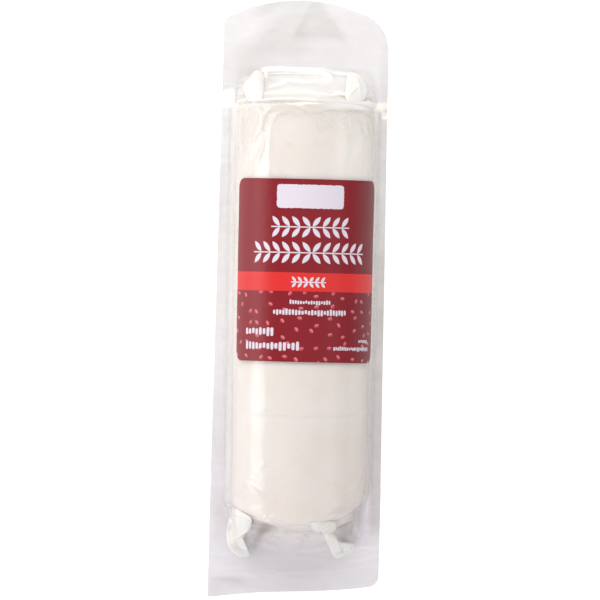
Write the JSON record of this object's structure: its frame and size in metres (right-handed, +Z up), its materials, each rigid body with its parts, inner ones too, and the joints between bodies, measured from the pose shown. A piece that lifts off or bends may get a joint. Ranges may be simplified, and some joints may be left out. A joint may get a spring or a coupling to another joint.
{
  "type": "goat cheese log",
  "caption": "Round log of fresh goat cheese, vacuum packed between clear films with a flat sealed border, puckered ends and a bare dark red label.",
  "frame": {"origin": "on the ground, under the middle of the pack's outline", "axes": "+Y along the log, towards the rounded opening tab; +Z up, out of the labelled front; +X towards the right-hand side of the label. The pack lies on its back."},
  "size_m": [0.0598, 0.2093, 0.05],
  "materials": {
    "filmed_cheese": "soft off-white cheese under clear glossy film",
    "label": "dark red printed label with a satin varnish"
  },
  "bodies": {
    "root": {"sealed_pack": "filmed_cheese", "label": "label"}
  },
  "joints": []
}
